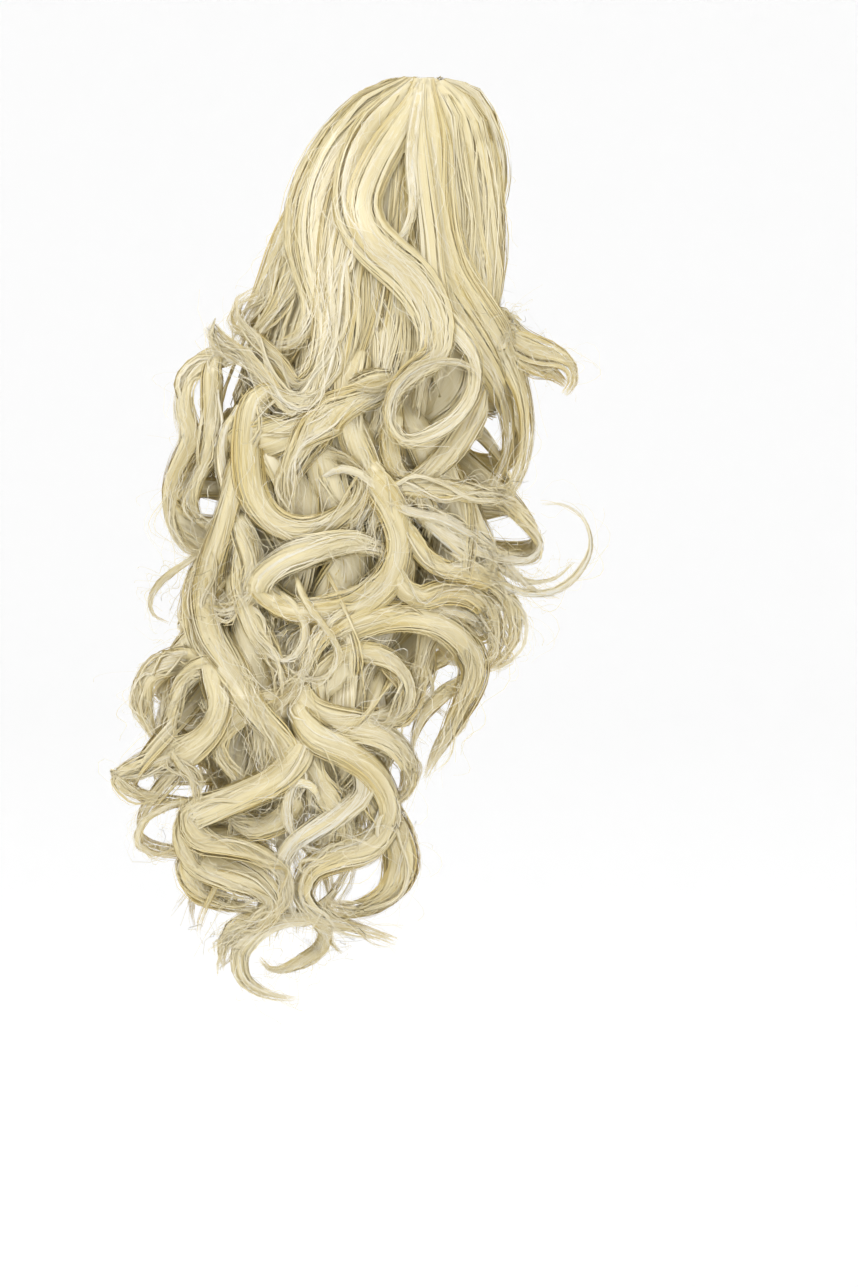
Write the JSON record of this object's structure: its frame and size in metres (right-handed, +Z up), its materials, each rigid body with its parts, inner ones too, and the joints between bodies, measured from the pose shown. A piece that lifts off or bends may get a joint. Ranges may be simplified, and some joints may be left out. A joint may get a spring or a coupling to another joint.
{
  "type": "ponytail hairpiece",
  "caption": "Curled blonde clip-on ponytail: loose barrel curls fall from a smooth dome of hair over a claw clip.",
  "frame": {"origin": "middle of the clip's mouth, where it seats on the back of the wearer's crown", "axes": "+Z up as it is worn, +Y the way the wearer faces, into the clip's mouth, +X to the wearer's right"},
  "size_m": [0.1722, 0.2025, 0.4471],
  "materials": {
    "blonde_fibre": "silky synthetic fibre",
    "clip_plastic": "polished"
  },
  "bodies": {
    "root": {"hair": "blonde_fibre", "clip": "clip_plastic"}
  },
  "joints": []
}
